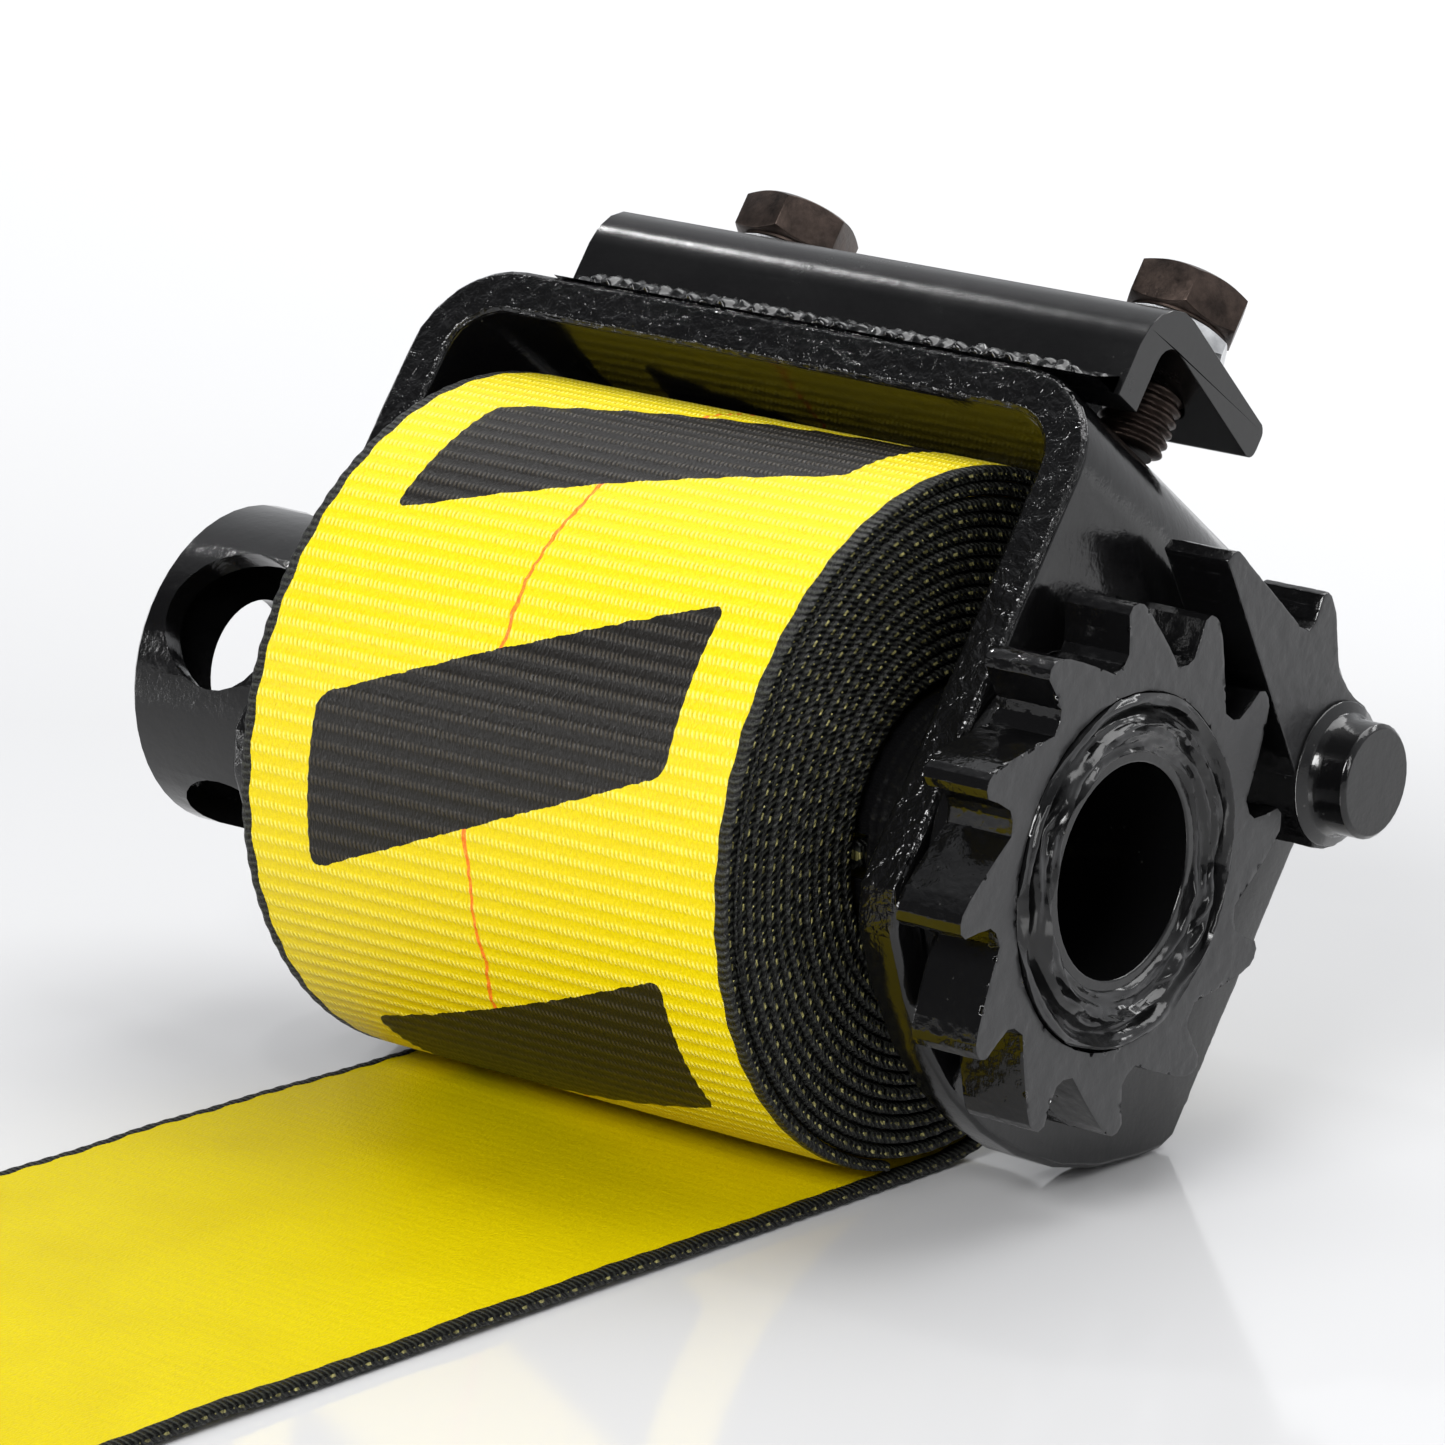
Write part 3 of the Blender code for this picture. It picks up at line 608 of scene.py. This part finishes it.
def welded(mesh):
    """Join the doubled points of a closed ring and point its faces outwards."""
    work = bmesh.new()
    work.from_mesh(mesh)
    bmesh.ops.remove_doubles(work, verts=work.verts, dist=0.000001)
    bmesh.ops.recalc_face_normals(work, faces=work.faces)
    work.to_mesh(mesh)
    work.free()
    return mesh


def make_clamp_weld():
    """Lumpy fillet along the foot of the clamp angle."""
    low, high = tilted_box("clamp_weld")
    steps = 230
    rows = []
    for index in range(steps + 1):
        share = index / steps
        x = low.x + (high.x - low.x) * share
        ends = min(1.0, min(share, 1.0 - share) * 14.0) ** 0.5
        ripple = 0.00022 * math.sin(x * 2 * math.pi / 0.0031 + 1.7 * math.sin(x * 210.0))
        profile = [(high.y, low.z), (high.y, high.z)]
        for number in range(1, 9):
            angle = math.radians(90.0 * number / 9)
            rough = lumpy((x, number * 0.0009, 0.0), 9.0, 360.0)
            swell = 1.0 + 0.16 * rough + ripple / 0.003
            v = high.y - (high.y - low.y) * math.sin(angle) * ends * min(1.12, swell)
            w = low.z + (high.z - low.z) * math.cos(angle) * ends * min(1.2, swell)
            profile.append((v, w))
        profile.append((low.y, low.z))
        rows.append([tuple(TILTED @ Vector((x, v, w))) for v, w in profile])
    mesh = grid_mesh("clamp_fillet", np.array(rows))
    outward(mesh)
    weld = link("clamp_fillet", mesh, weld_paint, "frame", smooth=70.0)
    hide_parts("clamp_weld")


# ---------------------------------------------------------------- webbing
def section(along, thick, body_out, body_in, fine):
    """Section of the webbing at every station: offsets across and through, and attributes."""
    half = WEB_WIDTH / 2
    if fine:
        edge = ((0.0024, 0.86), (0.0018, 0.97), (0.0010, 1.0), (0.0004, 0.86), (0.0, 0.50),
                (0.00045, 0.0), (0.0, -0.50), (0.0004, -0.86), (0.0010, -1.0), (0.0018, -0.97),
                (0.0024, -0.86))
    else:
        edge = ((0.0024, 0.84), (0.0012, 0.99), (0.0001, 0.62), (0.00045, 0.0),
                (0.0001, -0.62), (0.0012, -0.99), (0.0024, -0.84))
    groove = len(edge) // 2
    inside_out = np.linspace(-half + 0.0034, half - 0.0034, body_out)
    inside_in = np.linspace(half - 0.0034, -half + 0.0034, body_in)
    count = len(along)
    rib = np.maximum(0.0, np.sin(along * 2 * math.pi / RIB_PITCH)) ** 0.7
    pattern = np.array(FLECKS)[(np.round(along / STEP).astype(int)) % len(FLECKS)]
    twist = 2 * math.pi * along / 0.004
    columns = []

    def column(across, level, fleck=0.0, relief=0.0):
        columns.append((np.broadcast_to(across, (count,)),
                        np.broadcast_to(level * thick / 2 + relief, (count,)),
                        np.broadcast_to(fleck, (count,)), np.broadcast_to(level, (count,))))

    def add_edge(side, rows):
        shift = 0.22 * wobble(along, 0.043, 1.3 + side)
        for number, (depth, level) in rows:
            if number == groove:
                raised = depth - 0.00028 * pattern
                column(side * (half - raised), shift, pattern)
            else:
                swing = np.sin(twist + (0.0 if level > 0 else math.pi) + side)
                near = max(0.0, 1.0 - depth / 0.0018)
                column(side * (half - depth + 0.00012 * near * swing),
                       level * (1.0 + 0.03 * near * swing))

    for across in inside_out:
        column(across, 0.86, 0.0, OUTER_RIB * rib)
    add_edge(1.0, list(enumerate(edge)))
    for across in inside_in:
        column(across, -0.86, 0.0, -INNER_RIB * rib)
    add_edge(-1.0, list(enumerate(edge))[::-1])
    stacked = [np.stack([c[k] for c in columns], axis=1) for k in range(4)]
    return stacked


def ribbon(name, line, thick, mats, body, body_out, body_in, fine, lift=None, wander=0.0):
    """Webbing along a line of (y, z) points about the axle, its outer side to the left."""
    steps = np.linalg.norm(np.diff(line, axis=0), axis=1)
    along = np.concatenate([[0.0], np.cumsum(steps)])
    tangent = np.gradient(line, axis=0)
    tangent /= np.linalg.norm(tangent, axis=1)[:, None]
    normal = np.stack([-tangent[:, 1], tangent[:, 0]], axis=1)
    across, through, fleck, level = section(along, thick, body_out, body_in, fine)
    shift = wander * wobble(along, 0.19, 0.4)[:, None]
    if lift is not None:
        through = through + lift(line, across)
    rows = np.empty((*across.shape, 3))
    rows[..., 0] = AXLE.x + across + shift
    rows[..., 1] = AXLE.y + line[:, :1] + through * normal[:, :1]
    rows[..., 2] = AXLE.z + line[:, 1:] + through * normal[:, 1:]
    values = {"along": np.repeat(along[:, None], across.shape[1], axis=1), "across": across,
              "height": level, "fleck": fleck}
    mesh = grid_mesh(name, rows, values)
    plain = (level[0] + np.roll(level[0], -1) < 0.0).astype(np.int32)
    sides = np.concatenate([np.tile(plain, len(along) - 1), [1, 1]])
    outward(mesh)
    piece = link(name, mesh, mats[0], body, smooth=None)
    mesh.materials.append(mats[1])
    mesh.polygons.foreach_set("material_index", sides.astype(np.int32))
    return piece, along[-1]


def resampled(points, thick):
    """The same line with stations STEP apart."""
    points = np.array(points)
    steps = np.linalg.norm(np.diff(points, axis=0), axis=1)
    along = np.concatenate([[0.0], np.cumsum(steps)])
    count = int(along[-1] / STEP)
    wanted = np.arange(count + 1) * STEP
    line = np.stack([np.interp(wanted, along, points[:, k]) for k in range(2)], axis=1)
    return line, np.interp(wanted, along, np.array(thick))


def smoothstep(value):
    """Ease from 0 to 1."""
    value = min(1.0, max(0.0, value))
    return value * value * (3.0 - 2.0 * value)


def outer_wrap_radius(angle):
    """Outside of the last wrap; it bulges at the top and back and dives in below the front."""
    lift = math.sin(math.radians((angle + 90.0) * 180.0 / 270.0)) if angle < 180.0 else 0.0
    dive = max(0.0, (angle - 180.0) / 78.0)
    return AXLE_HEIGHT + 0.0015 * max(0.0, lift) - 0.0017 * dive ** 1.6


def make_strap(mats):
    """Last wrap, tail on the floor and the sewn loop that holds the hook."""
    half = WEB_THICK / 2
    wrap_end = 258.0
    inner_limit = CORE_RADIUS + FIT_GAP
    points, thick = [], []
    for index in range(700):
        angle = wrap_end - (wrap_end + 90.0) * index / 700
        outer = outer_wrap_radius(angle)
        inner = max(outer - WEB_THICK, inner_limit)
        middle = (outer + inner) / 2
        turn = math.radians(angle)
        points.append((middle * math.cos(turn), middle * math.sin(turn)))
        thick.append(outer - inner)
    floor = half - AXLE_HEIGHT
    loop_z = floor + half + LOOP_RADIUS
    points += [(0.0, floor), (HINGE_Y, floor)]
    for index in range(1, 61):
        turn = math.radians(-90.0 - 180.0 * index / 60)
        radius = LOOP_RADIUS + half
        points.append((HINGE_Y + radius * math.cos(turn), loop_z + radius * math.sin(turn)))
    drop = WEB_THICK + 0.0003 + floor - points[-1][1]
    top = points[-1][1]
    for index in range(1, 41):
        share = index / 40
        points.append((HINGE_Y + (OVERLAP_START - HINGE_Y) * share, top + drop * smoothstep(share)))
    points.append((OVERLAP_END, top + drop))
    thick += [WEB_THICK] * (len(points) - len(thick))
    line, thick = resampled(points, thick)

    def lift(where, across):
        """Soft waves of the free tail, always up from the floor."""
        far = np.clip((-0.028 - where[:, 0]) / 0.03, 0.0, 1.0)[:, None]
        low = (where[:, 1] < floor + 0.0002)[:, None]
        near_hook = np.clip((where[:, 0] - OVERLAP_END) / 0.03, 0.0, 1.0)[:, None]
        waves = (0.5 + 0.5 * wobble(where[:, :1] + 0.35 * across, 0.085, 0.9)) * 0.0007
        crown = 0.00025 * np.cos(across / WEB_WIDTH * math.pi)
        return -far * low * near_hook * (waves + crown)

    strap, length = ribbon("strap", line, thick, mats, "frame", 14, 14, True, lift)
    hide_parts("strap_tail")
    return strap


def make_filler(mats):
    """Layer that fills the room between the bulging last wrap and the round coil."""
    points, thick = [], []
    inner = CORE_RADIUS + FIT_GAP
    for index in range(500):
        angle = 196.0 - 274.0 * index / 499
        outer = outer_wrap_radius(angle) - WEB_THICK - 0.00012
        room = max(0.00012, outer - inner)
        ends = smoothstep(min(index, 499 - index) / 40)
        turn = math.radians(angle)
        middle = outer - room * max(0.1, ends) / 2
        points.append((middle * math.cos(turn), middle * math.sin(turn)))
        thick.append(room * max(0.1, ends))
    line, thick = resampled(points, thick)
    filler, length = ribbon("strap_inner_layer", line, thick, mats, "frame", 1, 1, True,
                            wander=0.0003)


def make_root(mats):
    """Inner end of the webbing, where it passes through the slot in the drum."""
    low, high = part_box("strap_inner_end")
    size = high - low
    upright = size.z > size.y
    centre = (low + high) / 2 - AXLE
    reach = Vector((0.0, 0.0, size.z / 2)) if upright else Vector((0.0, size.y / 2, 0.0))
    thickness = min(size.y, size.z)
    ends = [((centre - reach).y, (centre - reach).z), ((centre + reach).y, (centre + reach).z)]
    line, thick = resampled(ends, [thickness, thickness])
    root, length = ribbon("strap_root", line, thick, mats, "drum", 1, 1, False)
    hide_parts("strap_inner_end")


def make_stitches(mat):
    """Box of stitches with a cross in it, on the overlap that closes the hook's loop."""
    level = WEB_THICK * 1.5 + 0.0004 - AXLE_HEIGHT + WEB_THICK * 0.43
    left, right = -WEB_WIDTH / 2 + 0.010, WEB_WIDTH / 2 - 0.010
    near, far = OVERLAP_END - 0.005, OVERLAP_START + 0.004
    corners = ((left, near), (right, near), (right, far), (left, far))
    runs = [(corners[k], corners[(k + 1) % 4]) for k in range(4)]
    runs += [(corners[0], corners[2]), (corners[1], corners[3])]
    runs += [((left, (near + far) / 2), (right, (near + far) / 2))]
    work = bmesh.new()
    for start, end in runs:
        way = Vector((end[0] - start[0], end[1] - start[1], 0.0))
        count = int(way.length / 0.0036)
        facing = Matrix.Rotation(math.atan2(way.y, way.x), 4, "Z")
        for number in range(count):
            middle = Vector((start[0], start[1], level)) + way * ((number + 0.5) / count)
            place = Matrix.Translation(AXLE + middle) @ facing @ Matrix.Diagonal(
                (0.0016, 0.00042, 0.00034, 1.0))
            bmesh.ops.create_icosphere(work, subdivisions=2, radius=1.0, matrix=place)
    mesh = bpy.data.meshes.new("loop_stitches")
    work.to_mesh(mesh)
    work.free()
    link("loop_stitches", mesh, mat, "frame", smooth=None)


def make_coil(mats):
    """Wound webbing that turns with the drum: round layers, each stepping in at the back."""
    pitch = (CORE_RADIUS - COIL_INSIDE) / COIL_TURNS
    start = 20.0
    points, thick = [], []
    first = start - STEP_IN
    last = start + 360.0 * COIL_TURNS - STEP_IN
    count = int((last - first) / 0.6)
    for index in range(count + 1):
        angle = first + (last - first) * index / count
        if angle < start:
            grown = smoothstep((angle - first) / STEP_IN)
            outer = CORE_RADIUS
            wide = WEB_THICK * max(0.08, grown)
        else:
            whole, part = divmod(angle - start, 360.0)
            outer = CORE_RADIUS - pitch * (whole + smoothstep((part - 360.0 + STEP_IN) / STEP_IN))
            wide = WEB_THICK
        middle = outer - wide / 2
        turn = math.radians(angle)
        points.append((middle * math.cos(turn), middle * math.sin(turn)))
        thick.append(wide * 0.985)
    points.reverse()
    thick.reverse()
    line, thick = resampled(points, thick)
    coil, length = ribbon("strap_coil", line, thick, mats, "drum", 1, 1, False, wander=0.0003)
    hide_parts("strap_roll")
    return coil


# ---------------------------------------------------------------- camera, floor and light
def make_camera():
    """Camera at the reference view."""
    azimuth, elevation, roll = (math.radians(v) for v in (37.92, 13.92, 2.42))
    back = Vector((math.sin(azimuth) * math.cos(elevation),
                   -math.cos(azimuth) * math.cos(elevation), math.sin(elevation)))
    level = (-back).cross(Vector((0.0, 0.0, 1.0))).normalized()
    upright = level.cross(-back)
    right = math.cos(roll) * level + math.sin(roll) * upright
    up = -math.sin(roll) * level + math.cos(roll) * upright
    data = bpy.data.cameras.new("camera")
    data.lens = 180.0
    data.sensor_width = 36.0
    data.clip_start = 0.05
    data.clip_end = 60.0
    camera = bpy.data.objects.new("camera", data)
    turn = Matrix((right, up, back)).transposed().to_4x4()
    camera.matrix_world = Matrix.Translation((0.71873, -0.78022, 0.35365)) @ turn
    bpy.context.scene.collection.objects.link(camera)
    bpy.context.scene.camera = camera


def make_floor():
    """Large pale floor: painted shade, darker near the object, and painted light, whiter and
    glowing, away from it.
    """
    work = bmesh.new()
    bmesh.ops.create_circle(work, cap_ends=True, segments=96, radius=14.0)
    mesh = bpy.data.meshes.new("floor")
    work.to_mesh(mesh)
    work.free()
    floor = bpy.data.objects.new("floor", mesh)
    floor.location = (0.0, 0.0, -0.0002)
    bpy.context.scene.collection.objects.link(floor)
    tree, shader, mat = new_material("pale_floor")
    place = add(tree, "ShaderNodeTexCoord").outputs["Object"]
    away = add(tree, "ShaderNodeVectorMath", {0: place}, operation="LENGTH").outputs["Value"]
    # painted shade near the object and painted light further out: the floor's colour brightens with
    # distance
    tone = mixed(tree, ramp(tree, away, (0.35, 1.45, 0.0, 1.0)), colour(0.565, 0.565, 0.57),
                 colour(0.97, 0.97, 0.97))
    tree.links.new(tone, shader.inputs["Base Color"])
    # painted light: the far floor glows
    tree.links.new(ramp(tree, away, (1.2, 3.4, 0.0, 0.75)), shader.inputs["Emission Strength"])
    shader.inputs["Emission Color"].default_value = colour(1.0, 1.0, 1.0)
    shader.inputs["Roughness"].default_value = 0.10
    shader.inputs["Specular IOR Level"].default_value = 0.5
    mesh.materials.append(mat)


def area_light(name, place, target, size, power, tint=(1.0, 1.0, 1.0)):
    """A rectangular soft light aimed at a point."""
    data = bpy.data.lights.new(name, "AREA")
    data.shape = "RECTANGLE"
    data.size, data.size_y = size
    data.energy = power
    data.color = tint
    lamp = bpy.data.objects.new(name, data)
    lamp.location = place
    lamp.rotation_euler = (Vector(target) - Vector(place)).to_track_quat("-Z", "Y").to_euler()
    bpy.context.scene.collection.objects.link(lamp)


def make_light():
    """Soft studio light: panels overhead, on the left and behind, with a dark room in front."""
    middle = (0.0, 0.08, 0.05)
    area_light("overhead_panel", (0.2, 1.1, 2.2), (0.0, 0.5, 0.0), (2.6, 1.6), 47.0)
    area_light("key_panel", (0.35, -1.75, 1.25), middle, (1.1, 0.7), 52.0)
    area_light("left_panel", (-1.7, -1.1, 0.35), middle, (0.5, 0.4), 8.0)
    area_light("left_lamp", (-1.15, 0.25, 1.55), middle, (0.14, 0.06), 3.0)
    area_light("back_strip", (0.5, 1.9, 1.5), middle, (1.6, 0.22), 8.0)
    area_light("right_strip", (2.2, -0.7, 1.0), middle, (0.2, 1.1), 5.0)
    world = bpy.data.worlds.new("studio")
    bpy.context.scene.world = world
    world.use_nodes = True
    tree = world.node_tree
    towards = add(tree, "ShaderNodeTexCoord").outputs["Generated"]
    back = add(tree, "ShaderNodeVectorMath", {0: towards, 1: (0.15, 0.85, 0.45)},
               operation="DOT_PRODUCT").outputs["Value"]
    room = mixed(tree, ramp(tree, back, (-0.2, 0.7, 0.0, 1.0)), colour(0.07, 0.07, 0.075),
                 colour(0.75, 0.76, 0.78))
    tree.links.new(room, tree.nodes["Background"].inputs["Color"])


make_camera()
make_floor()
make_light()

ALONG_V = TILTED.to_3x3().col[1][:]
ALONG_X = (1.0, 0.0, 0.0)
gloss_paint = paint_material("gloss_paint", (0.06, 0.18), 0.00009)
frame_paint = paint_material("frame_paint", (0.06, 0.24), 0.00010, cut=0.0006, cut_way=ALONG_V)
cut_paint = paint_material("cut_paint", (0.05, 0.17), 0.00007, cut=0.00010, satin_way=ALONG_X)
pawl_paint = paint_material("pawl_paint", (0.08, 0.22), 0.00012, cut=0.00010, marks=0.35,
                            satin_way=ALONG_X)
satin_paint = paint_material("satin_paint", (0.15, 0.30), 0.00004, marks=0.1)
weld_paint = paint_material("weld_paint", (0.08, 0.20), 0.00004, satin_way=ALONG_X)
oxide_steel = bare_steel_material("oxide_steel", colour(0.030, 0.023, 0.020),
                                  colour(0.085, 0.062, 0.052), (0.30, 0.5))
zinc_steel = bare_steel_material("zinc_plate", colour(0.5, 0.51, 0.52),
                                 colour(0.78, 0.79, 0.80), (0.25, 0.45))
webbing = (outer_webbing_material(), inner_webbing_material())

nodes["pawl_pin_weld"].material_slots[0].material = weld_paint
eased("frame", "bent_frame", frame_paint, "frame", 0.0003, 0.00013, 0.0009, cut_side)
eased("clamp_angle", "clamp_jaw", satin_paint, "frame", 0.00022)
eased("bar_cap", "winch_bar_cap", gloss_paint, "drum", 0.0007)
eased("drum_tube", "slotted_tube", gloss_paint, "drum", 0.0005)
eased("pawl_pin", "pivot_pin", gloss_paint, "frame", 0.0003)
eased("pawl_washer", "pivot_washer", gloss_paint, "frame", 0.0003)
eased("drum_washer", "thrust_washer", gloss_paint, "frame", 0.0003)
eased("flat_hook", "bent_hook", zinc_steel, "hook", 0.0003)
eased("ratchet_wheel", "toothed_wheel", cut_paint, "drum", 0.0007, 0.00009)
eased("pawl", "flip_pawl", pawl_paint, "pawl", 0.0006, 0.00010)
make_bolt("left", -14.0)
make_bolt("right", 4.0)
make_ring_weld()
make_clamp_weld()

make_strap(webbing)
make_filler(webbing)
make_coil(webbing)
make_root(webbing)
make_stitches(thread_material())

bpy.context.scene.view_settings.view_transform = "Standard"
